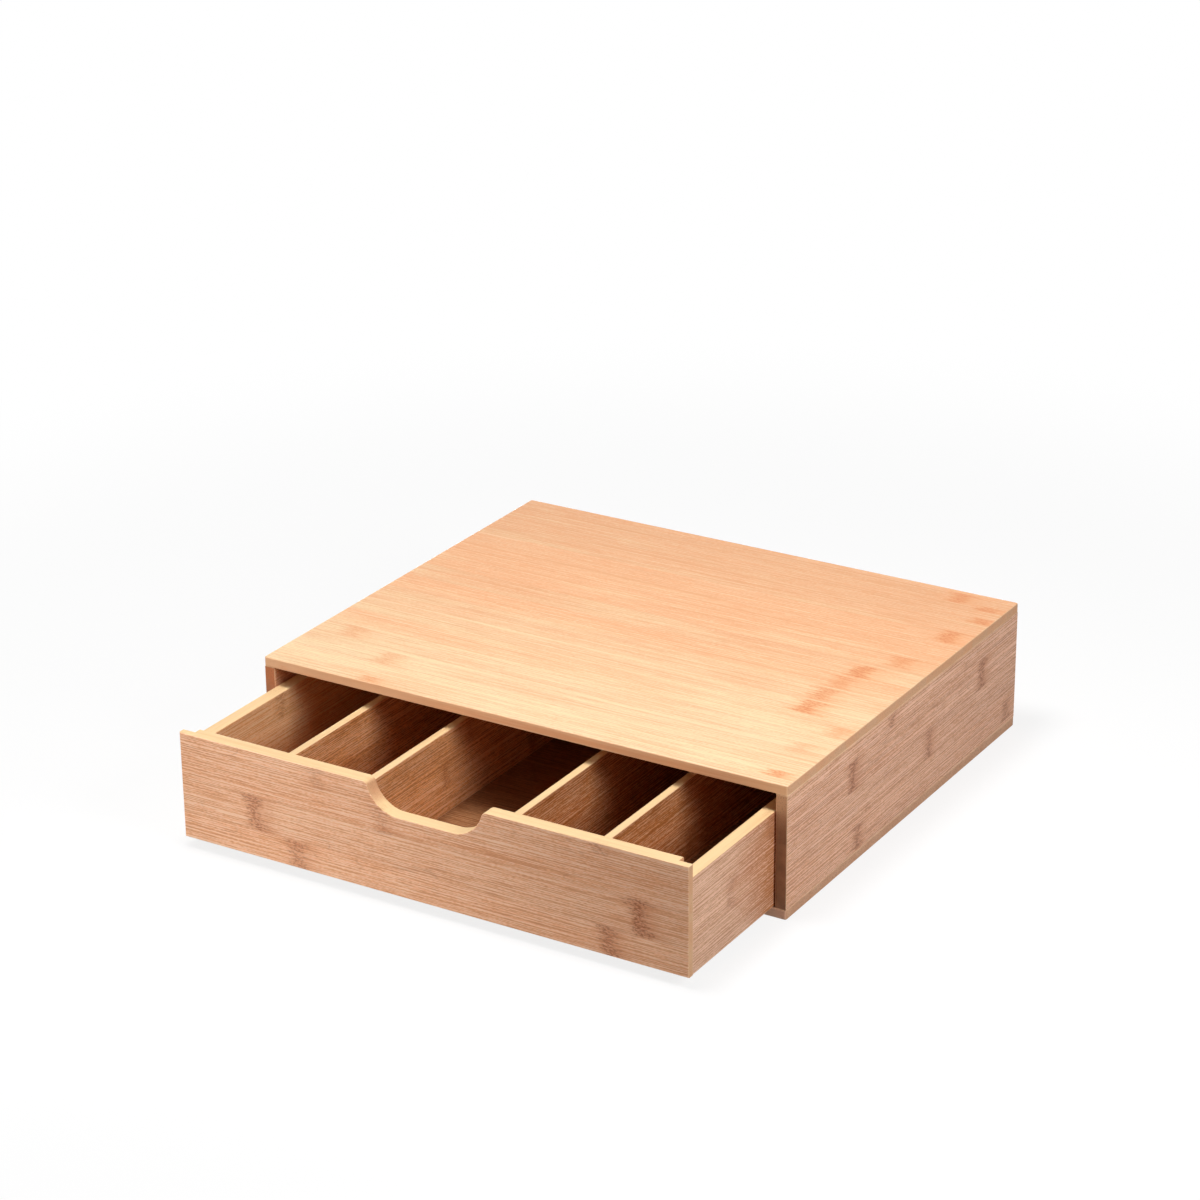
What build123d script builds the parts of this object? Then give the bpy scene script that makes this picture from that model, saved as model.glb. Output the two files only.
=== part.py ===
"""A low bamboo box for coffee pods: a case open at the front and one drawer, drawn part of the way out.

Millimetres, +Z up. The origin is the middle of the case's underside and the drawer opens towards -Y.
The case is five glued boards. The drawer is a front, two sides, a back, a thin floor held in grooves
and four dividers that part it into five compartments.
"""
from build123d import *
import math
import os

os.makedirs("parts", exist_ok=True)

# Case
case_width = 385
case_depth = 325
case_height = 90
panel_thickness = 6.5         # top and bottom boards
case_side_thickness = 8
case_back_thickness = 6
back_rabbet_depth = 4         # how far the back board reaches into each side board

# Drawer
drawer_opening = 102.5        # how far the front stands out of the case at rest
drawer_end_gap = 1            # on each side, between drawer and case
drawer_running_gap = 0.3      # under the drawer
drawer_head_gap = 4           # over the drawer's front
drawer_rear_gap = 0.5         # behind the closed drawer
front_thickness = 10
front_tongue = 4.5            # what the end rabbets leave of the front's thickness
drawer_side_thickness = 9
drawer_back_thickness = 9
side_drop = 8.5               # sides, back and dividers end this far below the top of the front
floor_thickness = 3.5
floor_lift = 5                # height of the floor above the lower edges of the boards around it
floor_groove_depth = 4
divider_thickness = 5.5
narrow_compartment = 57.2     # clear width of each of the four outer compartments
divider_housing_depth = 3

# Finger scoop in the top edge of the front
scoop_mouth = 84
scoop_floor_width = 72
scoop_depth = 19
scoop_floor_radius = 22      # less where the walls have no room for it
scoop_lip_radius = 4.5
scoop_wall_straight = 0.3     # what the two fillets leave of each wall, at least

# Hidden dowels
case_dowel_diameter = 4
case_dowel_in_panel = 4
case_dowel_in_side = 12
case_dowel_end_distance = 32
case_dowels_per_edge = 4
drawer_dowel_diameter = 5
drawer_dowel_in_side = 5
drawer_dowel_in_back = 15
drawer_dowel_end_distance = 16

# Edges and fits
corner_radius = 1.5           # upright corners of the top and bottom boards
edge_radius = 0.8             # edges that a hand meets
seam_radius = 0.35            # edges along glued seams
joint_play = 0.1              # room on each side of a piece in its groove, housing, rabbet or hole

# Finger scoop: how far its walls lean and bend, and the largest fillet that fits them
scoop_wall_run = (scoop_mouth - scoop_floor_width) / 2
scoop_wall_length = math.hypot(scoop_wall_run, scoop_depth)
scoop_bend = math.tan(math.atan2(scoop_depth, scoop_wall_run) / 2)
scoop_room = (scoop_wall_length - scoop_wall_straight) / scoop_bend - scoop_lip_radius

# Places in the case
case_top_underside = case_height - panel_thickness
case_side_height = case_top_underside - panel_thickness
case_front_y = -case_depth / 2
case_back_y = case_depth / 2
case_inner_half_width = case_width / 2 - case_side_thickness
case_dowel_x = case_width / 2 - case_side_thickness / 2
case_dowel_spacing = (case_depth - 2 * case_dowel_end_distance) / (case_dowels_per_edge - 1)
case_dowel_spots = GridLocations(2 * case_dowel_x, case_dowel_spacing, 2, case_dowels_per_edge)

# Places in the drawer
drawer_half_width = case_inner_half_width - drawer_end_gap
drawer_inner_half_width = drawer_half_width - drawer_side_thickness
drawer_side_x = drawer_half_width - drawer_side_thickness / 2
sole_z = panel_thickness + drawer_running_gap
front_top_z = case_top_underside - drawer_head_gap
side_top_z = front_top_z - side_drop
front_y = case_front_y - drawer_opening
tongue_y = front_y + front_tongue
front_back_y = front_y + front_thickness
drawer_length = case_depth - case_back_thickness - drawer_rear_gap
drawer_rear_y = front_y + drawer_length
drawer_side_length = drawer_rear_y - tongue_y
drawer_side_middle_y = (tongue_y + drawer_rear_y) / 2
back_front_y = drawer_rear_y - drawer_back_thickness
floor_z = sole_z + floor_lift
floor_top_z = floor_z + floor_thickness
divider_pitch = narrow_compartment + divider_thickness
outer_divider_x = drawer_inner_half_width - divider_pitch + divider_thickness / 2
inner_divider_x = outer_divider_x - divider_pitch
divider_places = [-outer_divider_x, -inner_divider_x, inner_divider_x, outer_divider_x]
drawer_dowel_heights = [sole_z + drawer_dowel_end_distance, side_top_z - drawer_dowel_end_distance]
drawer_dowel_y = drawer_rear_y - drawer_back_thickness / 2
drawer_dowel_outer_x = drawer_inner_half_width + drawer_dowel_in_side - joint_play

# Bottom board of the case
with BuildPart() as bottom_panel:
    with BuildSketch():
        RectangleRounded(case_width, case_depth, corner_radius)
    extrude(amount=panel_thickness)
    fillet(bottom_panel.faces().sort_by(Axis.Z)[0].edges(), edge_radius)
    fillet(bottom_panel.faces().sort_by(Axis.Z)[-1].edges(), seam_radius)
    with BuildSketch(Plane.XY.offset(panel_thickness)):
        with case_dowel_spots:
            Circle(case_dowel_diameter / 2 + joint_play)
    extrude(amount=-case_dowel_in_panel, mode=Mode.SUBTRACT)
bottom_panel.part.label = "bottom_panel"
export_step(bottom_panel.part, "parts/bottom_panel.step")

# Top board of the case, lying on the sides and the back
with BuildPart() as top_panel:
    with BuildSketch(Plane.XY.offset(case_top_underside)):
        RectangleRounded(case_width, case_depth, corner_radius)
    extrude(amount=panel_thickness)
    fillet(top_panel.faces().sort_by(Axis.Z)[-1].edges(), edge_radius)
    fillet(top_panel.faces().sort_by(Axis.Z)[0].edges(), seam_radius)
    with BuildSketch(Plane.XY.offset(case_top_underside)):
        with case_dowel_spots:
            Circle(case_dowel_diameter / 2 + joint_play)
    extrude(amount=case_dowel_in_panel, mode=Mode.SUBTRACT)
top_panel.part.label = "top_panel"
export_step(top_panel.part, "parts/top_panel.step")

# Side boards of the case, rabbeted at the rear for the back board
for name, side in (("left", -1), ("right", 1)):
    with BuildPart() as side_panel:
        with BuildSketch(Plane.XY.offset(panel_thickness)):
            with Locations((side * case_dowel_x, 0)):
                Rectangle(case_side_thickness, case_depth)
        extrude(amount=case_side_height)
        outer_face = side_panel.faces().sort_by(Axis.X)[-1 if side > 0 else 0]
        fillet(outer_face.edges().filter_by(Axis.Y), seam_radius)
        fillet(side_panel.edges().filter_by(Axis.Z), edge_radius)
        with BuildSketch(Plane.XY.offset(panel_thickness)):
            with Locations((side * case_inner_half_width, case_back_y)):
                Rectangle(2 * back_rabbet_depth, 2 * (case_back_thickness + joint_play))
        extrude(amount=case_side_height, mode=Mode.SUBTRACT)
        for edge_z, direction in ((panel_thickness, 1), (case_top_underside, -1)):
            with BuildSketch(Plane.XY.offset(edge_z)):
                with case_dowel_spots:
                    Circle(case_dowel_diameter / 2 + joint_play)
            extrude(amount=direction * case_dowel_in_side, mode=Mode.SUBTRACT)
    side_panel.part.label = f"{name}_side_panel"
    export_step(side_panel.part, f"parts/{name}_side_panel.step")

# Back board of the case, set into the rabbets of the sides
with BuildPart() as back_panel:
    with BuildSketch(Plane.XY.offset(panel_thickness)):
        with Locations((0, case_back_y - case_back_thickness / 2)):
            Rectangle(2 * (case_inner_half_width + back_rabbet_depth - joint_play), case_back_thickness)
    extrude(amount=case_side_height)
    fillet(back_panel.faces().sort_by(Axis.Y)[-1].edges(), seam_radius)
back_panel.part.label = "back_panel"
export_step(back_panel.part, "parts/back_panel.step")

# Dowels that pin the sides of the case to its bottom and top
with BuildPart() as case_dowels:
    for seam_z, below, above in (
        (panel_thickness, case_dowel_in_panel, case_dowel_in_side),
        (case_top_underside, case_dowel_in_side, case_dowel_in_panel),
    ):
        with BuildSketch(Plane.XY.offset(seam_z - below + joint_play)):
            with case_dowel_spots:
                Circle(case_dowel_diameter / 2)
        extrude(amount=below + above - 2 * joint_play)
case_dowels.part.label = "case_dowels"
export_step(case_dowels.part, "parts/case_dowels.step")

# Drawer front: finger scoop, end rabbets, floor groove and stopped housings for the dividers
with BuildPart() as drawer_front:
    with BuildSketch(Plane.XZ.offset(-front_back_y)) as front_outline:
        with BuildLine():
            Polyline(
                (-drawer_half_width, sole_z),
                (drawer_half_width, sole_z),
                (drawer_half_width, front_top_z),
                (scoop_mouth / 2, front_top_z),
                (scoop_floor_width / 2, front_top_z - scoop_depth),
                (-scoop_floor_width / 2, front_top_z - scoop_depth),
                (-scoop_mouth / 2, front_top_z),
                (-drawer_half_width, front_top_z),
                close=True,
            )
        make_face()
        fillet(front_outline.vertices().group_by(Axis.Y)[1], min(scoop_floor_radius, scoop_room))
        fillet(front_outline.vertices().group_by(Axis.Y)[-1].sort_by(Axis.X)[1:-1], scoop_lip_radius)
    extrude(amount=front_thickness)
    fillet(drawer_front.faces().sort_by(Axis.Y)[0].edges(), edge_radius)
    fillet(drawer_front.faces().sort_by(Axis.Y)[-1].edges(), edge_radius)
    with BuildSketch(Plane.XY.offset(sole_z)):
        with Locations((-drawer_half_width, front_back_y), (drawer_half_width, front_back_y)):
            Rectangle(2 * (drawer_side_thickness + joint_play), 2 * (front_thickness - front_tongue))
    extrude(amount=front_top_z - sole_z, mode=Mode.SUBTRACT)
    with BuildSketch(Plane.XY.offset(floor_z - joint_play)):
        with Locations((0, front_back_y)):
            Rectangle(2 * drawer_inner_half_width, 2 * floor_groove_depth)
    extrude(amount=floor_thickness + 2 * joint_play, mode=Mode.SUBTRACT)
    with BuildSketch(Plane.XY.offset(floor_top_z)):
        with Locations(*[(x, front_back_y) for x in divider_places]):
            Rectangle(divider_thickness + 2 * joint_play, 2 * divider_housing_depth)
    extrude(amount=side_top_z + joint_play - floor_top_z, mode=Mode.SUBTRACT)
drawer_front.part.label = "drawer_front"
export_step(drawer_front.part, "parts/drawer_front.step")

# Drawer sides: their front ends fill the rabbets of the front
for name, side in (("left", -1), ("right", 1)):
    with BuildPart() as drawer_side:
        with BuildSketch(Plane.XY.offset(sole_z)):
            with Locations((side * drawer_side_x, drawer_side_middle_y)):
                Rectangle(drawer_side_thickness, drawer_side_length)
        extrude(amount=side_top_z - sole_z)
        fillet(drawer_side.edges().filter_by(Axis.Y), edge_radius)
        with BuildSketch(Plane.XY.offset(floor_z - joint_play)):
            with Locations((side * drawer_inner_half_width, drawer_side_middle_y)):
                Rectangle(2 * floor_groove_depth, drawer_side_length)
        extrude(amount=floor_thickness + 2 * joint_play, mode=Mode.SUBTRACT)
        with BuildSketch(Plane.YZ.offset(side * drawer_inner_half_width)):
            with Locations(*[(drawer_dowel_y, z) for z in drawer_dowel_heights]):
                Circle(drawer_dowel_diameter / 2 + joint_play)
        extrude(amount=side * drawer_dowel_in_side, mode=Mode.SUBTRACT)
    drawer_side.part.label = f"drawer_{name}_side"
    export_step(drawer_side.part, f"parts/drawer_{name}_side.step")

# Drawer back, between the rear ends of the sides
with BuildPart() as drawer_back:
    with BuildSketch(Plane.XY.offset(sole_z)):
        with Locations((0, drawer_dowel_y)):
            Rectangle(2 * drawer_inner_half_width, drawer_back_thickness)
    extrude(amount=side_top_z - sole_z)
    fillet(drawer_back.edges().filter_by(Axis.X), edge_radius)
    with BuildSketch(Plane.XY.offset(floor_z - joint_play)):
        with Locations((0, back_front_y)):
            Rectangle(2 * drawer_inner_half_width, 2 * floor_groove_depth)
    extrude(amount=floor_thickness + 2 * joint_play, mode=Mode.SUBTRACT)
    with BuildSketch(Plane.XY.offset(floor_top_z)):
        with Locations(*[(x, back_front_y) for x in divider_places]):
            Rectangle(divider_thickness + 2 * joint_play, 2 * divider_housing_depth)
    extrude(amount=side_top_z - floor_top_z, mode=Mode.SUBTRACT)
    for side in (-1, 1):
        with BuildSketch(Plane.YZ.offset(side * drawer_inner_half_width)):
            with Locations(*[(drawer_dowel_y, z) for z in drawer_dowel_heights]):
                Circle(drawer_dowel_diameter / 2 + joint_play)
        extrude(amount=-side * drawer_dowel_in_back, mode=Mode.SUBTRACT)
drawer_back.part.label = "drawer_back"
export_step(drawer_back.part, "parts/drawer_back.step")

# Thin floor of the drawer, held in the grooves of the boards around it
with BuildPart() as drawer_floor:
    floor_front_y = front_back_y - floor_groove_depth + joint_play
    floor_rear_y = back_front_y + floor_groove_depth - joint_play
    with BuildSketch(Plane.XY.offset(floor_z)):
        with Locations((0, (floor_front_y + floor_rear_y) / 2)):
            Rectangle(
                2 * (drawer_inner_half_width + floor_groove_depth - joint_play),
                floor_rear_y - floor_front_y,
            )
    extrude(amount=floor_thickness)
drawer_floor.part.label = "drawer_floor"
export_step(drawer_floor.part, "parts/drawer_floor.step")

# Dividers, standing on the floor with their ends in the housings of front and back
divider_front_y = front_back_y - divider_housing_depth + joint_play
divider_rear_y = back_front_y + divider_housing_depth - joint_play
for number, divider_x in enumerate(divider_places, start=1):
    with BuildPart() as divider:
        with BuildSketch(Plane.XY.offset(floor_top_z)):
            with Locations((divider_x, (divider_front_y + divider_rear_y) / 2)):
                Rectangle(divider_thickness, divider_rear_y - divider_front_y)
        extrude(amount=side_top_z - floor_top_z)
        fillet(divider.faces().sort_by(Axis.Z)[-1].edges().filter_by(Axis.Y), edge_radius)
    divider.part.label = f"divider_{number}"
    export_step(divider.part, f"parts/divider_{number}.step")

# Dowels that pin the drawer's sides to its back
with BuildPart() as drawer_dowels:
    for side in (-1, 1):
        with BuildSketch(Plane.YZ.offset(side * drawer_dowel_outer_x)):
            with Locations(*[(drawer_dowel_y, z) for z in drawer_dowel_heights]):
                Circle(drawer_dowel_diameter / 2)
        extrude(amount=-side * (drawer_dowel_in_side + drawer_dowel_in_back - 2 * joint_play))
drawer_dowels.part.label = "drawer_dowels"
export_step(drawer_dowels.part, "parts/drawer_dowels.step")
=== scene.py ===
"""A bamboo pull-out box for coffee pods, dressed and lit like its photograph.

Metres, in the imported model's frame: the origin is in the middle of the underside, +Z is up, the
drawer opens towards -Y and +X is on the right of a person facing it.
"""

import math

import bpy
from mathutils import Matrix, Vector


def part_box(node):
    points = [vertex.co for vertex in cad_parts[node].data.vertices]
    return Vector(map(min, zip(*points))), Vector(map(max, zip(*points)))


# Where the camera stood, found from the corners of the box in the photograph.
camera_azimuth = 31.385  # degrees to the right of straight in front
camera_elevation = 22.784  # degrees above level
camera_roll = -0.565  # degrees
camera_distance = 2.4364
camera_target = Vector((-0.1084, 0.1184, 0.045))
camera_lens = 103.59  # mm
sensor_width = 36.0  # mm
farthest_seen = 60.0

# The strips that every board is glued up from, and the marks of the bamboo's rings on them.
strip_width = 0.0225
ring_reach = 0.0064  # half the length of a ring mark, along the grain
ring_bow = 0.0014  # how far a ring mark bows along the grain, from its middle to its ends
ring_spacing = 0.27  # between the ring marks of one strip
edge_reach = 0.0009  # how far from an arris the wood is polished and paler, with a painted highlight
end_shade_to_light_heights = (0.058, 0.078)  # where the ends of the sides go over from painted shade below to a painted lit strip at the top

# The marks of the bamboo's figure: length along the grain, width across it.
fibre_size = (0.026, 0.00070)
fleck_size = (0.0100, 0.00060)
speck_size = (0.0025, 0.00050)
fibre_wander_size = (0.600, 0.0050)
streak_size = (0.140, 0.0032)
band_size = (0.110, 0.0130)
dash_size = (0.011, 0.00095)
worn_size = (0.100, 0.0120)
hairline_size = (0.110, 0.0240)
ring_fleck_size = (0.0024, 0.0010)
ring_tear_size = (0.0120, 0.0016)
ring_tear_depth = 3.2  # as a share of the ring mark's reach
end_dot_size = (0.025, 0.0013, 0.0010)  # along, across and through the board
fibre_spacing = 0.0016
fibre_wander = 4.0  # in spacings, over the range of the noise that moves the fibres

# What each mark adds to the figure of the fibres. Together they swing about a half.
fibre_weight = 0.44
fleck_weight = 0.32
speck_weight = 0.30
line_weight = 0.10
figure_offset = -0.03

# Where in the range of its noise each mark starts, and where it is full.
fibre_range = (0.34, 0.66)
streak_range = (0.3, 0.7)
strong_streak_range = (0.4, 1.0)
band_range = (0.3, 0.7)
dash_range = (0.54, 0.62)
worn_range = (0.35, 0.68)
worn_least = 0.25  # of the dashes and hairlines, where they are worn most
hairline_range = (0.002, 0.007)  # off the contour that a hairline follows
glue_line_range = (0.485, 0.498)  # from a strip's middle, in strip widths
ring_fleck_range = (0.46, 0.56)
end_dot_range = (0.16, 0.42)  # from the middle of a fibre bundle, in its cell

# Numbers that keep the chances and the stretches of noise apart from one another.
tone_shift = 3.1
seed_shift = 0.73
hue_offset = 40.0
phase_offset = 17.0
luck_step = 7.3

# The outline of a ring mark: across the strip in halves of its width, along it in reaches.
waist = 0.78  # its reach in the middle of the strip
waist_spread = 0.55  # what it gains towards the strip's sides
ring_side_fade = (0.80, 1.04)
core_fade = (0.25, 1.25)
halo_centre = 0.5
halo_fade = (0.3, 2.6)
luck_range = (0.2, 0.9)  # of the chance rings: below it none shows
luck_strength = 0.7

# How warm the wood is, from 0 to 1, and how light its strips are.
band_warmth = 0.6
strip_warmth = 0.4
drifting_share = 0.95  # what is left of both where the colour also drifts
wood_and_shade_drift_reach = (-0.50, 0.63)  # what the drift, partly painted shade, adds at its two ends
strip_light_range = (0.955, 1.02)

# How squarely a face has to look along or across the grain to count as an end or an edge.
end_facing = (0.55, 0.92)
edge_facing = (0.35, 0.85)

# How far each mark takes the wood's colour over to its own, from 0 to 1.
fibre_share = 0.56
dash_share = 0.11
hairline_share = 0.18
glue_share = 0.12
halo_share = 0.50
ring_share = 0.82
edge_streak_share = 0.50
edge_ring_share = 0.25
end_dot_share = 0.42
end_band_share = 0.35
# The arrises: partly wear, partly a painted highlight.
arris_wear_and_highlight_share = 0.55

# Satin lacquer.
lacquer_ior = 1.46
lacquer_level = 0.42
relief_strength = 0.55
relief_depth = 0.00009
roughness_range = (0.50, 0.40)  # from the pale to the dark of the fibres
ring_roughness = 0.10
end_roughness = 0.16
arris_roughness = -0.08
fibre_height = 0.5
streak_height = 0.35
dash_height = -0.4
ring_height = -0.7
glue_height = -0.25
end_dot_height = -0.8
rub_scale = 90.0  # of the noise that says where the arrises are rubbed
rub_range = (0.3, 0.7)
rub_least = 0.35

# The floor and the light that comes from all round.
floor_half = 15.0
floor_drop = 0.0002
floor_grey = 0.46  # for the light that it throws back on the object
shadow_distances = (0.35, 0.9)  # from the middle: where the shadow starts to fade, and is gone
shadow_least_white = 0.82
surround_colour = (1.0, 0.99, 0.98, 1.0)
surround_level = 0.10

# Directions, as the numbers of their axes.
X, Y, Z = 0, 1, 2


def srgb(red, green, blue):
    """A colour written as 0 to 255 in sRGB, as the linear values that the shaders take."""
    linear = []
    for value in (red, green, blue):
        share = value / 255
        if share <= 0.04045:
            linear.append(share / 12.92)
        else:
            linear.append(((share + 0.055) / 1.055) ** 2.4)
    return (*linear, 1.0)


class Tree:
    """The node tree of a material, group or world, with a short call for each kind of node used."""

    def __init__(self, tree):
        self.tree = tree

    def node(self, kind, **settings):
        made = self.tree.nodes.new(kind)
        for name, value in settings.items():
            setattr(made, name, value)
        return made

    def feed(self, socket, value):
        """Links a socket's value in, or writes a plain one on it."""
        if isinstance(value, bpy.types.NodeSocket):
            self.tree.links.new(value, socket)
        else:
            socket.default_value = value

    def math(self, operation, *values, clamp=False):
        made = self.node("ShaderNodeMath", operation=operation, use_clamp=clamp)
        for socket, value in zip(made.inputs, values):
            self.feed(socket, value)
        return made.outputs[0]

    def total(self, first, *others):
        for other in others:
            first = self.math("ADD", first, other)
        return first

    def product(self, first, *others):
        for other in others:
            first = self.math("MULTIPLY", first, other)
        return first

    def vector_math(self, operation, *values, result="Vector"):
        made = self.node("ShaderNodeVectorMath", operation=operation)
        for socket, value in zip(made.inputs, values):
            self.feed(socket, value)
        return made.outputs[result]

    def split(self, vector):
        made = self.node("ShaderNodeSeparateXYZ")
        self.feed(made.inputs[0], vector)
        return made.outputs

    def join(self, x, y, z):
        made = self.node("ShaderNodeCombineXYZ")
        for socket, value in zip(made.inputs, (x, y, z)):
            self.feed(socket, value)
        return made.outputs[0]

    def in_units(self, places, units):
        """A point's three coordinates, each counted in its own unit."""
        return self.join(*[self.math("DIVIDE", place, unit) for place, unit in zip(places, units)])

    def smooth(self, value, low, high, start=0.0, end=1.0):
        """start where value is below low, end where it is above high, and a smooth step between."""
        made = self.node("ShaderNodeMapRange", interpolation_type="SMOOTHSTEP", clamp=True)
        for name, number in (
            ("Value", value),
            ("From Min", low),
            ("From Max", high),
            ("To Min", start),
            ("To Max", end),
        ):
            self.feed(made.inputs[name], number)
        return made.outputs["Result"]

    def mix(self, factor, first, second):
        """Colours: first where factor is 0, second where it is 1."""
        made = self.node("ShaderNodeMix", data_type="RGBA", clamp_factor=True)
        colours = [socket for socket in made.inputs if socket.type == "RGBA"]
        self.feed(made.inputs[0], factor)
        self.feed(colours[0], first)
        self.feed(colours[1], second)
        return [socket for socket in made.outputs if socket.type == "RGBA"][0]

    def noise(self, vector, scale=1.0, detail=2.0, roughness=0.5):
        made = self.node("ShaderNodeTexNoise", noise_dimensions="3D")
        self.feed(made.inputs["Vector"], vector)
        self.feed(made.inputs["Scale"], scale)
        self.feed(made.inputs["Detail"], detail)
        self.feed(made.inputs["Roughness"], roughness)
        return made.outputs[0]

    def chance(self, first, second=0.0):
        """A number from 0 to 1 that is the same wherever the two given ones are."""
        made = self.node("ShaderNodeTexWhiteNoise", noise_dimensions="2D")
        self.feed(made.inputs["Vector"], self.join(first, second, 0.0))
        return made.outputs["Value"]

    def use(self, group, **values):
        """One copy of a node group. Names with a space are written with an underscore."""
        made = self.node("ShaderNodeGroup", node_tree=group)
        for name, value in values.items():
            self.feed(made.inputs[name.replace("_", " ")], value)
        return made.outputs


def new_group(name, inputs, outputs):
    """A group of float sockets: its tree, what comes in by name, and what goes out."""
    group = bpy.data.node_groups.new(name, "ShaderNodeTree")
    for socket in inputs:
        group.interface.new_socket(name=socket, in_out="INPUT", socket_type="NodeSocketFloat")
    for socket in outputs:
        group.interface.new_socket(name=socket, in_out="OUTPUT", socket_type="NodeSocketFloat")
    tree = Tree(group)
    return tree, tree.node("NodeGroupInput").outputs, tree.node("NodeGroupOutput").inputs


# Node groups: the parts of the bamboo's figure.


def grain_group():
    """Fibres, streaks, bands and strips, from a place along, across and through a board."""
    tree, given, made = new_group(
        "bamboo_grain",
        ("Along", "Across", "Through", "Strip start", "Seed", "Coarseness"),
        (
            "Fibre",
            "Streak",
            "Band",
            "Dash",
            "Hairline",
            "Strip tone",
            "Strip hue",
            "Strip number",
            "Glue line",
        ),
    )
    from_start = tree.math("SUBTRACT", given["Across"], given["Strip start"])
    in_strips = tree.math("DIVIDE", from_start, strip_width)
    strip = tree.math("FLOOR", in_strips)
    tone = tree.chance(strip, given["Seed"])
    hue = tree.chance(tree.math("ADD", strip, hue_offset), given["Seed"])
    # No two strips or boards show the same stretch of the noise.
    shift = tree.math("ADD", tree.product(tone, tone_shift), tree.product(given["Seed"], seed_shift))
    place = tree.math("ADD", given["Along"], shift)
    across = tree.math("DIVIDE", given["Across"], given["Coarseness"])

    def figure(size, **settings):
        """Noise drawn out along the grain, in flecks of about that length and width."""
        length, width = size
        spot = tree.in_units((place, across, given["Through"]), (length, width, width))
        return tree.noise(spot, **settings)

    # The fibres lie side by side at an even spacing, wander a little and come and go.
    wander = tree.product(figure(fibre_wander_size, detail=1.0), fibre_wander)
    turns = tree.math("ADD", tree.math("DIVIDE", across, fibre_spacing), wander)
    lines = tree.math("SINE", tree.product(turns, math.tau))
    coming_and_going = tree.product(figure(fibre_size, detail=1.0, roughness=0.6), fibre_weight)
    broken_up = tree.product(figure(fleck_size, detail=1.0, roughness=0.6), fleck_weight)
    specks = tree.product(figure(speck_size, detail=0.0), speck_weight)
    even_lines = tree.product(lines, line_weight)
    fibre = tree.total(coming_and_going, broken_up, specks, even_lines, figure_offset)
    streak = figure(streak_size, detail=4.0, roughness=0.65)
    dashes = tree.smooth(figure(dash_size, detail=1.0), *dash_range)
    worn = tree.smooth(figure(worn_size), *worn_range, start=worn_least, end=1.0)
    off_contour = tree.math("ABSOLUTE", tree.math("SUBTRACT", figure(hairline_size, detail=1.0), 0.5))
    hairline = tree.smooth(off_contour, *hairline_range, start=1.0, end=0.0)
    from_middle = tree.math("ABSOLUTE", tree.math("SUBTRACT", tree.math("FRACT", in_strips), 0.5))
    tree.feed(made["Fibre"], tree.smooth(fibre, *fibre_range))
    tree.feed(made["Streak"], tree.smooth(streak, *streak_range))
    tree.feed(made["Band"], tree.smooth(figure(band_size, detail=3.0), *band_range))
    tree.feed(made["Dash"], tree.product(dashes, worn))
    tree.feed(made["Hairline"], tree.product(hairline, worn))
    tree.feed(made["Strip tone"], tone)
    tree.feed(made["Strip hue"], hue)
    tree.feed(made["Strip number"], strip)
    tree.feed(made["Glue line"], tree.smooth(from_middle, *glue_line_range))
    return tree.tree


def ring_group():
    """One ring of the culm, where it crosses a strip: a bowed band that fades at its ends."""
    tree, given, made = new_group(
        "culm_ring",
        ("Along", "Across", "Raggedness", "Centre", "Middle", "Half width", "Reach", "Lean", "Strength"),
        ("Core", "Halo"),
    )
    off_middle = tree.math("SUBTRACT", given["Across"], given["Middle"])
    sideways = tree.math("DIVIDE", off_middle, given["Half width"])
    bowed = tree.total(tree.product(sideways, sideways, ring_bow), tree.product(off_middle, given["Lean"]))
    off_centre = tree.math("SUBTRACT", given["Along"], given["Centre"])
    # The mark is narrow in the middle of the strip and spreads towards its sides.
    spread = tree.math("ADD", tree.product(sideways, sideways, waist_spread), waist)
    reach = tree.product(given["Reach"], spread)
    distance = tree.math("DIVIDE", tree.math("SUBTRACT", off_centre, bowed), reach)
    ragged = tree.math("ADD", distance, given["Raggedness"])
    off_halo = tree.math("ABSOLUTE", tree.math("SUBTRACT", ragged, halo_centre))
    inside = tree.smooth(tree.math("ABSOLUTE", sideways), *ring_side_fade, start=1.0, end=0.0)
    core = tree.smooth(tree.math("ABSOLUTE", ragged), *core_fade, start=1.0, end=0.0)
    halo = tree.smooth(off_halo, *halo_fade, start=1.0, end=0.0)
    tree.feed(made["Core"], tree.product(core, inside, given["Strength"]))
    tree.feed(made["Halo"], tree.product(halo, inside, given["Strength"]))
    return tree.tree


def chance_ring_group(one_ring):
    """Rings that come by chance on every strip, one about every ring_spacing along it."""
    tree, given, made = new_group(
        "culm_rings_by_chance",
        ("Along", "Across", "Raggedness", "Strip start", "Strip number", "Seed"),
        ("Core", "Halo"),
    )
    phase = tree.chance(tree.math("ADD", given["Strip number"], phase_offset), given["Seed"])
    in_spaces = tree.math("ADD", tree.math("DIVIDE", given["Along"], ring_spacing), phase)
    space = tree.math("FLOOR", in_spaces)
    centre = tree.product(tree.math("ADD", tree.math("SUBTRACT", space, phase), 0.5), ring_spacing)
    middle_strip = tree.product(tree.math("ADD", given["Strip number"], 0.5), strip_width)
    middle = tree.math("ADD", middle_strip, given["Strip start"])
    own_number = tree.math("ADD", given["Strip number"], tree.product(space, luck_step))
    luck = tree.chance(own_number, given["Seed"])
    ring = tree.use(
        one_ring,
        Along=given["Along"],
        Across=given["Across"],
        Raggedness=given["Raggedness"],
        Centre=centre,
        Middle=middle,
        Half_width=strip_width / 2,
        Reach=ring_reach,
        Lean=0.0,
        Strength=tree.smooth(luck, *luck_range, start=0.0, end=luck_strength),
    )
    tree.feed(made["Core"], ring["Core"])
    tree.feed(made["Halo"], ring["Halo"])
    return tree.tree


GRAIN = grain_group()
RING = ring_group()
CHANCE_RINGS = chance_ring_group(RING)


# Materials.


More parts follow.
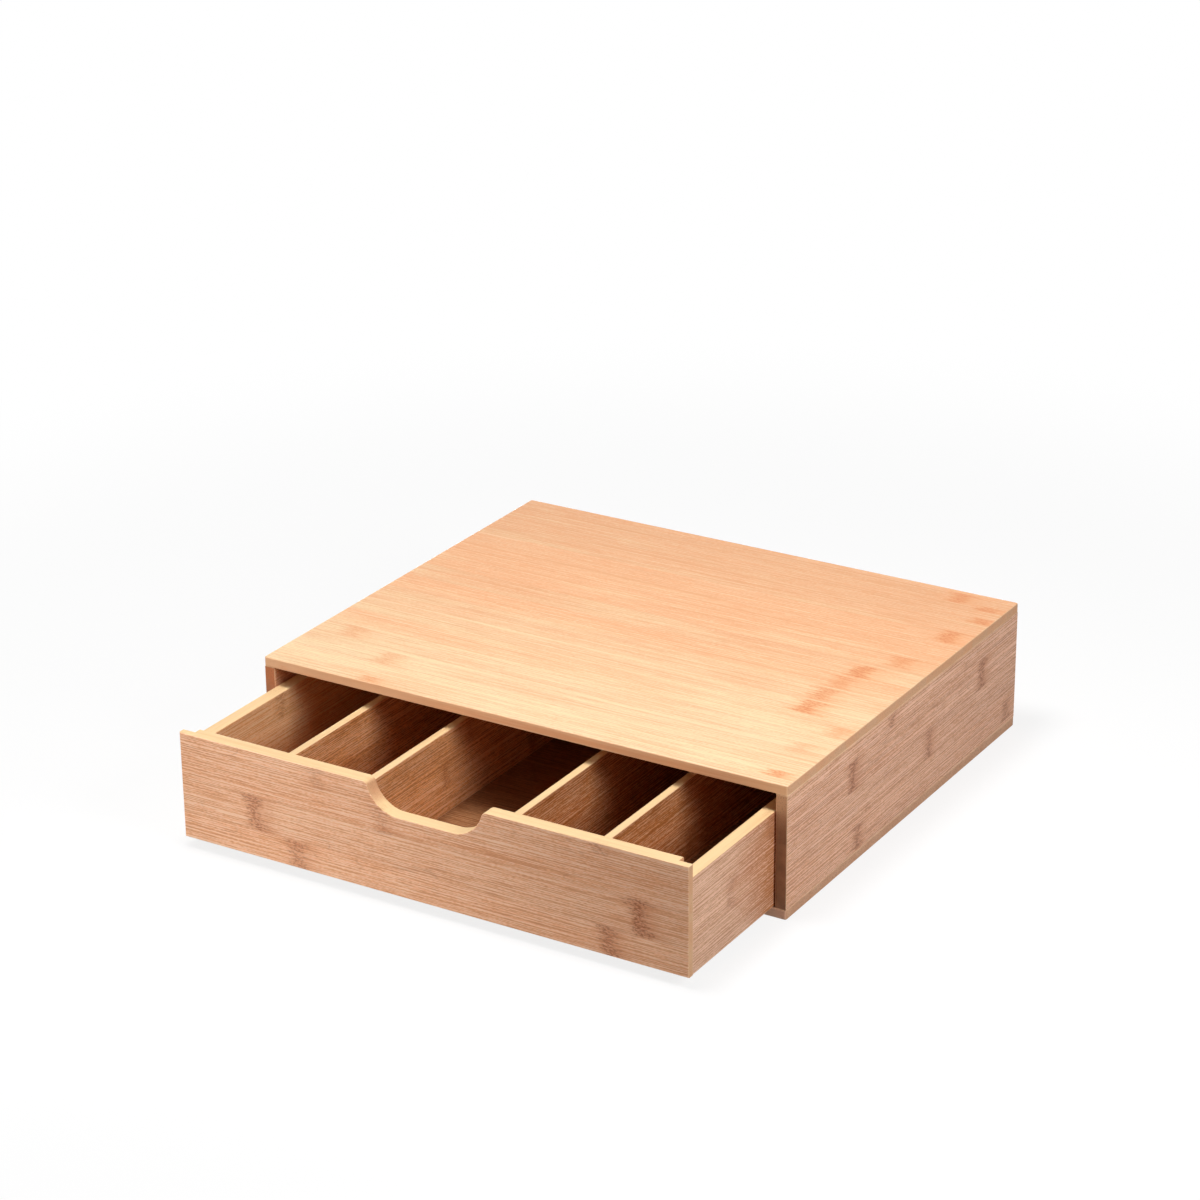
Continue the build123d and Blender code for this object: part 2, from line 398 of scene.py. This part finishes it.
class Board:
    """A board's material while it is made: where a point of it lies, how it faces, and its grain."""

    def __init__(self, material, node, axes, seed, strip_start, coarseness):
        self.tree = Tree(material.node_tree)
        self.seed = seed
        self.strip_start = strip_start
        self.lowest, self.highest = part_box(node)
        self.middle = (self.lowest + self.highest)[axes[2]] / 2
        coordinates = self.tree.node("ShaderNodeTexCoord").outputs
        self.place = coordinates["Object"]
        places = self.tree.split(self.place)
        facing = self.tree.split(coordinates["Normal"])
        self.spot = [places[axis] for axis in axes]
        self.along, self.across, self.through = self.spot
        self.on_end = self.tree.smooth(self.tree.math("ABSOLUTE", facing[axes[0]]), *end_facing)
        self.on_edge = self.tree.smooth(self.tree.math("ABSOLUTE", facing[axes[1]]), *edge_facing)
        self.grain = self.tree.use(
            GRAIN,
            Along=self.along,
            Across=self.across,
            Through=self.through,
            Strip_start=strip_start,
            Seed=seed,
            Coarseness=coarseness,
        )
        self.streaks = self.tree.smooth(self.grain["Streak"], *strong_streak_range)
        self.ring_mark, self.halo = 0.0, 0.0


def photographed_rings(board, raggedness, rings, reach, lean):
    """The ring marks that the photograph shows on a face, each where it is there."""
    tree = board.tree
    core, halo = 0.0, 0.0
    for centre, middle, half_width, strength in rings:
        ring = tree.use(
            RING,
            Along=board.along,
            Across=board.across,
            Raggedness=raggedness,
            Centre=centre,
            Middle=middle,
            Half_width=half_width,
            Reach=reach,
            Lean=lean,
            Strength=strength,
        )
        core = tree.math("MAXIMUM", core, ring["Core"])
        halo = tree.math("MAXIMUM", halo, ring["Halo"])
    return core, halo


def mark_rings(board, rings, ring_side, reach, lean, solidity):
    """Finds the board's ring marks: the photographed ones on that face, and chance ones elsewhere."""
    tree = board.tree
    torn = tree.in_units((board.along, board.across, board.seed), (*ring_tear_size, 1.0))
    raggedness = tree.product(tree.math("SUBTRACT", tree.noise(torn), 0.5), ring_tear_depth)
    by_chance = tree.use(
        CHANCE_RINGS,
        Along=board.along,
        Across=board.across,
        Raggedness=raggedness,
        Strip_start=board.strip_start,
        Strip_number=board.grain["Strip number"],
        Seed=board.seed,
    )
    core, board.halo = by_chance["Core"], by_chance["Halo"]
    if rings:
        off_middle = tree.product(tree.math("SUBTRACT", board.through, board.middle), ring_side)
        shown = tree.math("GREATER_THAN", off_middle, 0.0)
        hidden = tree.math("SUBTRACT", 1.0, shown)
        seen_core, seen_halo = photographed_rings(board, raggedness, rings, reach, lean)
        core = tree.total(tree.product(core, hidden), tree.product(seen_core, shown))
        board.halo = tree.total(tree.product(board.halo, hidden), tree.product(seen_halo, shown))
    length, width = ring_fleck_size
    flecks = tree.noise(tree.in_units(board.spot, (length, width, width)), detail=1.0)
    filled = tree.smooth(flecks, *ring_fleck_range, start=solidity, end=1.0)
    board.ring_mark = tree.product(core, filled)


def warmth_and_shade_of(board, wood_and_shade_drift):
    """How far the wood goes over from pale to warm: by strips and bands, and along drift, which is partly
    painted shade.
    """
    tree, grain = board.tree, board.grain
    by_bands = tree.product(grain["Band"], band_warmth)
    warmth = tree.total(by_bands, tree.product(grain["Strip hue"], strip_warmth))
    if not wood_and_shade_drift:
        return warmth
    # Along the drift the colour darkens and warms: partly painted shade.
    start, end = (Vector(point) for point in wood_and_shade_drift)
    way = (end - start) / (end - start).length_squared
    from_start = tree.vector_math("SUBTRACT", board.place, tuple(start))
    gone = tree.vector_math("DOT_PRODUCT", from_start, tuple(way), result="Value")
    drifted = tree.smooth(gone, 0.0, 1.0, *wood_and_shade_drift_reach)
    return tree.math("ADD", tree.product(warmth, drifting_share), drifted, clamp=True)


def face_colour(board, colours, wood_and_shade_drift, contrast, streakiness):
    """The broad faces: strips of pale and warm wood, fibres, dashes, hairlines and ring marks."""
    tree, grain = board.tree, board.grain
    shares = fibre_share * contrast
    pale_fibre = tree.smooth(grain["Fibre"], 0.0, 0.5, start=shares, end=0.0)
    dark_fibre = tree.smooth(grain["Fibre"], 0.5, 1.0, start=0.0, end=shares)
    strip_light = tree.smooth(grain["Strip tone"], 0.0, 1.0, *strip_light_range)
    colour = tree.mix(warmth_and_shade_of(board, wood_and_shade_drift), colours["pale"], colours["warm"])
    colour = tree.mix(tree.product(board.streaks, streakiness), colour, colours["streak"])
    colour = tree.mix(pale_fibre, colour, colours["fibre_pale"])
    colour = tree.mix(dark_fibre, colour, colours["fibre_dark"])
    colour = tree.mix(tree.product(grain["Dash"], dash_share * contrast), colour, colours["dash"])
    colour = tree.mix(tree.product(grain["Hairline"], hairline_share * contrast), colour, colours["dash"])
    colour = tree.vector_math("MULTIPLY", colour, tree.join(strip_light, strip_light, strip_light))
    colour = tree.mix(tree.product(board.halo, halo_share), colour, colours["halo"])
    colour = tree.mix(tree.product(board.ring_mark, ring_share), colour, colours["ring"])
    return tree.mix(tree.product(grain["Glue line"], glue_share * contrast), colour, colours["ring"])


def edge_colour(board, colours):
    """The long edges, sawn through the strips."""
    tree = board.tree
    colour = tree.mix(
        tree.product(board.streaks, edge_streak_share), colours["edge"], colours["edge_streak"]
    )
    return tree.mix(tree.product(board.ring_mark, edge_ring_share), colour, colours["ring"])


def end_dots(board):
    """The fibre bundles, cut across: 1 inside a dot of the end grain."""
    tree = board.tree
    bundles = tree.node("ShaderNodeTexVoronoi", voronoi_dimensions="3D", feature="F1")
    tree.feed(bundles.inputs["Vector"], tree.in_units(board.spot, end_dot_size))
    tree.feed(bundles.inputs["Scale"], 1.0)
    return tree.smooth(bundles.outputs["Distance"], *end_dot_range, start=1.0, end=0.0)


def end_colour(board, colours, dots):
    """The sawn ends: dots of fibre bundles, on wood that on the case's sides carries painted shade low
    down and a painted lit strip at the top.
    """
    tree = board.tree
    end = colours["end"]
    # Painted light and shade: on the case's sides the end is dark low down and lighter at the top.
    if "end_lit_top" in colours:
        height = tree.split(board.place)[Z]
        end = tree.mix(tree.smooth(height, *end_shade_to_light_heights), end, colours["end_lit_top"])
    colour = tree.mix(tree.product(dots, end_dot_share), end, colours["end_dot"])
    return tree.mix(tree.product(board.grain["Band"], end_band_share), colour, colours["streak"])


def worn_arris_and_highlight(board):
    """1 on the arrises of the board's box where they are worn and carry a painted highlight, 0 further
    than edge_reach away.
    """
    tree = board.tree
    centre = (board.lowest + board.highest) / 2
    half = (board.highest - board.lowest) / 2
    off_centre = tree.vector_math("ABSOLUTE", tree.vector_math("SUBTRACT", board.place, tuple(centre)))
    depths = tree.split(tree.vector_math("SUBTRACT", tuple(half), off_centre))
    # A point on a face has one depth of 0, so the middle one of the three is the way to an arris.
    low = tree.math("MINIMUM", depths[X], depths[Y])
    high = tree.math("MAXIMUM", depths[X], depths[Y])
    to_arris = tree.math("MAXIMUM", low, tree.math("MINIMUM", high, depths[Z]))
    near = tree.smooth(to_arris, 0.0, edge_reach, start=1.0, end=0.0)
    patches = tree.noise(board.place, scale=rub_scale)
    rubbed = tree.smooth(patches, *rub_range, start=rub_least, end=1.0)
    return tree.product(near, rubbed)


def bamboo(
    name,
    node,
    axes,
    colours,
    seed,
    strip_start=0.0,
    rings=(),
    ring_side=1,
    reach=ring_reach,
    lean=0.0,
    solidity=0.20,
    contrast=1.0,
    streakiness=0.30,
    coarseness=1.0,
    wood_and_shade_drift=None,
):
    """Laminated bamboo for one board.

    axes are the board's directions along the grain, across the strips and through its thickness.
    rings are the marks on its photographed face, which looks towards ring_side on the last axis,
    and solidity says how far they are filled in between their dark flecks.
    drift is two points, between which the colour goes over from pale to warm and darker: partly the wood's
    own tone, partly painted shade.
    """
    material = bpy.data.materials.new(name)
    material.use_nodes = True
    board = Board(material, node, axes, seed, strip_start, coarseness)
    mark_rings(board, rings, ring_side, reach, lean, solidity)
    dots = end_dots(board)
    arris = worn_arris_and_highlight(board)

    tree, grain = board.tree, board.grain
    colour = face_colour(board, colours, wood_and_shade_drift, contrast, streakiness)
    colour = tree.mix(board.on_edge, colour, edge_colour(board, colours))
    colour = tree.mix(board.on_end, colour, end_colour(board, colours, dots))
    # The arrises are paler: partly wear, partly a painted highlight where a rounded edge catches the
    # light.
    colour = tree.mix(tree.product(arris, arris_wear_and_highlight_share), colour, colours["arris"])

    # The lacquer lies thinner on the rings and the end grain, and an arris is rubbed smooth.
    roughness = tree.total(
        tree.smooth(grain["Fibre"], 0.0, 1.0, *roughness_range),
        tree.product(board.ring_mark, ring_roughness),
        tree.product(board.on_end, end_roughness),
        tree.product(arris, arris_roughness),
    )
    height = tree.total(
        tree.product(grain["Fibre"], fibre_height),
        tree.product(grain["Streak"], streak_height),
        tree.product(grain["Dash"], dash_height),
        tree.product(board.ring_mark, ring_height),
        tree.product(grain["Glue line"], glue_height),
        tree.product(board.on_end, dots, end_dot_height),
    )
    relief = tree.node("ShaderNodeBump")
    relief.inputs["Strength"].default_value = relief_strength
    relief.inputs["Distance"].default_value = relief_depth
    tree.feed(relief.inputs["Height"], height)

    shader = material.node_tree.nodes["Principled BSDF"]
    tree.feed(shader.inputs["Base Color"], colour)
    tree.feed(shader.inputs["Roughness"], roughness)
    tree.feed(shader.inputs["Normal"], relief.outputs["Normal"])
    shader.inputs["IOR"].default_value = lacquer_ior
    shader.inputs["Specular IOR Level"].default_value = lacquer_level
    return material


def dress(nodes, name, material):
    """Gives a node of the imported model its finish, in every slot that it has."""
    slots = nodes[name].data.materials
    if not slots:
        slots.append(material)
    for number in range(len(slots)):
        slots[number] = material


TAN = {
    "pale": srgb(248, 189, 147),
    "warm": srgb(238, 170, 125),
    "streak": srgb(212, 138, 96),
    "fibre_pale": srgb(254, 216, 184),
    "fibre_dark": srgb(200, 127, 76),
    "dash": srgb(160, 94, 60),
    "halo": srgb(206, 131, 86),
    "ring": srgb(150, 78, 35),
    "edge": srgb(242, 206, 154),
    "edge_streak": srgb(228, 184, 132),
    "end": srgb(222, 178, 144),
    "end_dot": srgb(164, 114, 80),
    # Worn arrises, also painted with a highlight.
    "arris": srgb(246, 212, 172),
}
FRONT = {
    **TAN,
    "end": srgb(219, 173, 131),
    "end_dot": srgb(172, 124, 88),
}
# Paler and yellower copy for the drawer's left side: partly its own tone, partly painted warm light.
GOLD_AND_PAINTED_LIGHT = {
    **TAN,
    "pale": srgb(254, 201, 148),
    "warm": srgb(250, 189, 134),
    "streak": srgb(236, 167, 107),
    "fibre_pale": srgb(254, 224, 184),
    "fibre_dark": srgb(210, 136, 72),
    "dash": srgb(166, 108, 60),
    "halo": srgb(204, 146, 92),
}
# Darker copy for dividers 1 and 2: partly their own tone, partly painted shade inside the drawer.
AMBER_AND_PAINTED_SHADE = {
    **GOLD_AND_PAINTED_LIGHT,
    "pale": srgb(240, 171, 112),
    "warm": srgb(229, 153, 90),
    "streak": srgb(180, 116, 66),
    "fibre_pale": srgb(248, 204, 168),
    "fibre_dark": srgb(138, 74, 22),
    "dash": srgb(136, 80, 40),
    "halo": srgb(180, 116, 64),
}
# Darker still, for dividers 3 and 4 and the drawer's back: partly their own tone, partly painted shade.
UMBER_AND_PAINTED_SHADE = {
    **AMBER_AND_PAINTED_SHADE,
    "pale": srgb(204, 135, 78),
    "warm": srgb(194, 119, 61),
    "streak": srgb(166, 99, 48),
}
# Darkest, for the drawer's floor: wood darkened with painted shade where the inside gets little light.
FLOOR = {
    **UMBER_AND_PAINTED_SHADE,
    "pale": srgb(166, 116, 76),
    "warm": srgb(152, 101, 62),
    "streak": srgb(128, 80, 46),
    "fibre_pale": srgb(194, 146, 106),
    "fibre_dark": srgb(104, 58, 24),
}
TOP = {
    **TAN,
    "pale": srgb(247, 214, 167),
    "warm": srgb(241, 176, 127),
    "streak": srgb(230, 154, 102),
    "fibre_pale": srgb(252, 230, 192),
    "fibre_dark": srgb(222, 158, 106),
    "dash": srgb(216, 136, 88),
    "halo": srgb(240, 164, 108),
    "ring": srgb(218, 120, 62),
    "end": srgb(220, 172, 133),
    "end_dot": srgb(160, 112, 80),
    "edge": srgb(238, 184, 138),
    "edge_streak": srgb(224, 152, 102),
}
SIDE = {
    **TAN,
    "pale": srgb(236, 180, 142),
    "warm": srgb(225, 162, 121),
    "streak": srgb(192, 130, 92),
    "fibre_pale": srgb(252, 208, 182),
    "fibre_dark": srgb(182, 116, 66),
    "dash": srgb(152, 90, 54),
    "halo": srgb(196, 130, 90),
    "ring": srgb(144, 82, 46),
    # The ends carry painted shade: dark low down and in their dots, with a painted lit strip at the top.
    "end": srgb(126, 87, 60),
    "end_lit_top": srgb(202, 150, 110),
    "end_dot": srgb(92, 58, 36),
}
# Its warm and streak colours are darkened for the painted shade that the drift lays near the case's mouth.
DRAWER_RIGHT = {
    **SIDE,
    "pale": srgb(228, 178, 142),
    "warm": srgb(196, 125, 75),
    "streak": srgb(170, 108, 66),
}
LEFT = {
    **SIDE,
    # The ends carry painted shade low down and a painted lit strip at the top.
    "end": srgb(150, 92, 56),
    "end_lit_top": srgb(190, 113, 66),
    "end_dot": srgb(130, 78, 44),
}
BOTTOM = {
    **SIDE,
    "end": srgb(216, 168, 134),
    "end_lit_top": srgb(216, 168, 134),
    "edge": srgb(230, 182, 154),
    "edge_streak": srgb(202, 152, 122),
}

# Ring marks in the photograph: along the grain, across it, half the strip's width, strength.
FRONT_RINGS = (
    (-0.128, 0.037, 0.0130, 0.82),
    (-0.096, 0.015, 0.0110, 0.65),
    (-0.080, 0.0725, 0.0080, 0.30),
    (-0.032, 0.056, 0.0100, 0.40),
    (0.150, 0.0375, 0.0130, 1.0),
    (0.1285, 0.0165, 0.0110, 0.85),
    (0.123, 0.076, 0.0040, 0.45),
)
SIDE_RINGS = (
    (-0.078, 0.061, 0.0115, 1.0),
    (-0.025, 0.078, 0.0050, 0.8),
    (0.029, 0.040, 0.0110, 0.8),
    (0.107, 0.059, 0.0110, 1.0),
    (-0.070, 0.0165, 0.0090, 0.8),
    (0.148, 0.017, 0.0080, 0.7),
)
TOP_RINGS = (
    (0.149, -0.0555, 0.0105, 0.9),
    (0.148, -0.034, 0.0105, 0.75),
    (0.150, -0.0125, 0.0105, 0.6),
    (0.153, 0.009, 0.0105, 0.9),
    (0.1685, 0.0345, 0.0090, 0.6),
    (0.177, 0.087, 0.0105, 0.8),
    (0.155, 0.150, 0.0090, 0.7),
    (0.179, 0.141, 0.0040, 0.7),
    (0.185, 0.121, 0.0050, 0.7),
    (0.183, -0.081, 0.0090, 0.4),
    (0.173, -0.111, 0.0080, 0.35),
    (0.179, -0.150, 0.0050, 0.8),
    (-0.166, -0.100, 0.0090, 0.4),
    (-0.122, -0.125, 0.0100, 0.45),
    (-0.113, -0.158, 0.0045, 0.6),
)
DRAWER_SIDE_RINGS = (
    (-0.216, 0.040, 0.0110, 0.45),
    (-0.166, 0.064, 0.0100, 0.6),
)

# How each board lies: along its grain, across its strips, through its thickness.
lying = (X, Y, Z)
facing_front = (X, Z, Y)
facing_side = (Y, Z, X)
upright_pin = (Z, X, Y)


def top_bamboo():
    return bamboo(
        "bamboo_top",
        "top_panel",
        lying,
        TOP,
        seed=3,
        strip_start=-0.066,
        rings=TOP_RINGS,
        reach=0.0090,
        solidity=0.50,
        contrast=0.66,
        streakiness=0.28,
        coarseness=1.25,
        # Paler at the front and warmer to the back: partly the lid's own tone, partly painted shade where
        # the light falls off.
        wood_and_shade_drift=((0.12, -0.17, 0.09), (0.09, 0.10, 0.09)),
    )


def right_side_bamboo():
    return bamboo(
        "bamboo_right",
        "right_side_panel",
        facing_side,
        SIDE,
        seed=7,
        strip_start=0.006,
        rings=SIDE_RINGS,
        contrast=1.3,
        streakiness=0.60,
    )


def front_bamboo():
    return bamboo(
        "bamboo_front",
        "drawer_front",
        facing_front,
        FRONT,
        seed=13,
        strip_start=0.0035,
        rings=FRONT_RINGS,
        ring_side=-1,
        reach=0.0074,
        lean=-0.20,
        contrast=1.1,
        streakiness=0.15,
    )


def drawer_right_bamboo():
    return bamboo(
        "bamboo_drawer_right",
        "drawer_right_side",
        facing_side,
        DRAWER_RIGHT,
        seed=17,
        strip_start=0.007,
        rings=DRAWER_SIDE_RINGS,
        contrast=1.15,
        # Darker and warmer towards the case's mouth: painted shade from the case.
        wood_and_shade_drift=((0.18, -0.235, 0.04), (0.18, -0.178, 0.055)),
    )


def dress_boards(nodes):
    dress(nodes, "top_panel", top_bamboo())
    dress(nodes, "right_side_panel", right_side_bamboo())
    dress(nodes, "drawer_front", front_bamboo())
    dress(nodes, "drawer_right_side", drawer_right_bamboo())
    for node, axes, colours, seed, strip_start in (
        ("bottom_panel", lying, BOTTOM, 5, -0.003),
        ("left_side_panel", facing_side, LEFT, 9, 0.004),
        ("back_panel", facing_front, TAN, 11, 0.002),
        ("case_dowels", upright_pin, TAN, 41, 0.0),
        ("drawer_left_side", facing_side, GOLD_AND_PAINTED_LIGHT, 19, 0.007),
        ("drawer_back", facing_front, UMBER_AND_PAINTED_SHADE, 23, 0.007),
        ("drawer_floor", lying, FLOOR, 29, 0.0),
        ("drawer_dowels", facing_side, TAN, 43, 0.0),
        ("divider_1", facing_side, AMBER_AND_PAINTED_SHADE, 31, 0.004),
        ("divider_2", facing_side, AMBER_AND_PAINTED_SHADE, 32, 0.008),
        ("divider_3", facing_side, UMBER_AND_PAINTED_SHADE, 33, 0.012),
        ("divider_4", facing_side, UMBER_AND_PAINTED_SHADE, 34, 0.016),
    ):
        dress(nodes, node, bamboo(f"bamboo_{node}", node, axes, colours, seed, strip_start))


# Floor, light and camera.


def seen(tree):
    """1 for what the camera sees straight, or in gloss or glass, and 0 for the light on the object."""
    path = tree.node("ShaderNodeLightPath").outputs
    gloss = tree.math("MAXIMUM", path["Is Glossy Ray"], path["Is Transmission Ray"])
    return tree.math("MAXIMUM", path["Is Camera Ray"], gloss)


def painted(tree, level):
    shader = tree.node("ShaderNodeBsdfDiffuse")
    shader.inputs["Color"].default_value = (level, level, level, 1.0)
    return shader.outputs[0]


def mixed(tree, factor, first, second):
    shader = tree.node("ShaderNodeMixShader")
    tree.feed(shader.inputs[0], factor)
    tree.feed(shader.inputs[1], first)
    tree.feed(shader.inputs[2], second)
    return shader.outputs[0]


def make_floor():
    """A white floor that keeps a faint shadow of the object."""
    half = floor_half
    mesh = bpy.data.meshes.new("floor")
    corners = [(-half, -half, 0.0), (half, -half, 0.0), (half, half, 0.0), (-half, half, 0.0)]
    mesh.from_pydata(corners, [], [(0, 1, 2, 3)])
    floor = bpy.data.objects.new("floor", mesh)
    floor.location.z = -floor_drop
    bpy.context.scene.collection.objects.link(floor)
    material = bpy.data.materials.new("floor_white")
    material.use_nodes = True
    material.node_tree.nodes.clear()
    tree = Tree(material.node_tree)
    glow = tree.node("ShaderNodeEmission").outputs[0]
    place = tree.node("ShaderNodeTexCoord").outputs["Object"]
    distance = tree.vector_math("LENGTH", place, result="Value")
    white = tree.smooth(distance, *shadow_distances, start=shadow_least_white, end=1.0)
    as_seen = mixed(tree, white, painted(tree, 1.0), glow)
    surface = mixed(tree, seen(tree), painted(tree, floor_grey), as_seen)
    tree.feed(tree.node("ShaderNodeOutputMaterial").inputs["Surface"], surface)
    mesh.materials.append(material)


def make_world():
    """Dim grey all round for the object, and white behind it for the eye."""
    world = bpy.data.worlds.new("studio")
    bpy.context.scene.world = world
    world.use_nodes = True
    tree = Tree(world.node_tree)
    tree.tree.nodes.clear()
    dim, white = (tree.node("ShaderNodeBackground") for _ in range(2))
    dim.inputs["Color"].default_value = surround_colour
    dim.inputs["Strength"].default_value = surround_level
    white.inputs["Color"].default_value = (1.0, 1.0, 1.0, 1.0)
    white.inputs["Strength"].default_value = 1.0
    surface = mixed(tree, seen(tree), dim.outputs[0], white.outputs[0])
    tree.feed(tree.node("ShaderNodeOutputWorld").inputs["Surface"], surface)


def softbox(name, position, aim, width, height, level, beam=math.pi):
    """A lamp that lights a white card at its aim, square to it, to that share of white.

    beam is the angle of the cone that its light fades out in.
    """
    lamp = bpy.data.lights.new(name, "AREA")
    lamp.shape = "RECTANGLE"
    lamp.size = width
    lamp.size_y = height
    lamp.spread = beam
    reach = Vector(aim) - Vector(position)
    narrowed = 1.0 - beam / 2 / math.tan(beam / 2)
    lamp.energy = level * math.pi**2 * reach.length_squared * narrowed
    holder = bpy.data.objects.new(name, lamp)
    holder.location = position
    holder.rotation_euler = reach.to_track_quat("-Z", "Y").to_euler()
    holder.visible_camera = False
    bpy.context.scene.collection.objects.link(holder)


def make_lights():
    lid = (0.0, 0.0, 0.09)
    front_left = (-0.10, -0.265, 0.045)
    side_front_end = (0.1925, -0.10, 0.045)
    back_middle = (0.0, 0.1625, 0.045)
    softbox(
        "key_above",
        position=(-0.14, -0.26, 1.40),
        aim=lid,
        width=0.42,
        height=0.42,
        level=0.835,
    )
    softbox(
        "low_front",
        position=(-0.45, -0.95, 0.16),
        aim=front_left,
        width=0.24,
        height=0.20,
        level=0.74,
        beam=math.radians(44),
    )
    softbox(
        "fill_right",
        position=(1.05, -0.34, 0.72),
        aim=side_front_end,
        width=0.50,
        height=0.50,
        level=0.585,
    )
    # Lower than the lid, so that it lights the back and the left side only.
    softbox(
        "low_back",
        position=(-0.70, 1.30, 0.045),
        aim=back_middle,
        width=1.20,
        height=0.08,
        level=0.42,
    )


def make_camera():
    azimuth = math.radians(camera_azimuth)
    elevation = math.radians(camera_elevation)
    level = math.cos(elevation)
    towards = Vector((-math.sin(azimuth) * level, math.cos(azimuth) * level, -math.sin(elevation)))
    right = towards.cross(Vector((0.0, 0.0, 1.0))).normalized()
    turned = Matrix.Rotation(-math.radians(camera_roll), 3, towards)
    right = turned @ right
    up = right.cross(towards)
    camera = bpy.data.objects.new("camera", bpy.data.cameras.new("camera"))
    camera.data.lens = camera_lens
    camera.data.sensor_width = sensor_width
    camera.data.clip_end = farthest_seen
    place = Matrix((right, up, -towards)).transposed().to_4x4()
    place.translation = camera_target - towards * camera_distance
    camera.matrix_world = place
    bpy.context.scene.collection.objects.link(camera)
    bpy.context.scene.camera = camera


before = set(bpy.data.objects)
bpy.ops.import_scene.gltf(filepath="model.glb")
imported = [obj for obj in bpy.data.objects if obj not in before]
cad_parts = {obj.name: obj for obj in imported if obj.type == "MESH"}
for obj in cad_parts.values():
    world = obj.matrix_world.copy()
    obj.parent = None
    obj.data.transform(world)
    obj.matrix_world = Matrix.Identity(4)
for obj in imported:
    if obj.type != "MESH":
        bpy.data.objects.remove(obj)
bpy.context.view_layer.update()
dress_boards(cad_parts)
make_floor()
make_world()
make_lights()
make_camera()
bpy.context.scene.view_settings.view_transform = "Standard"
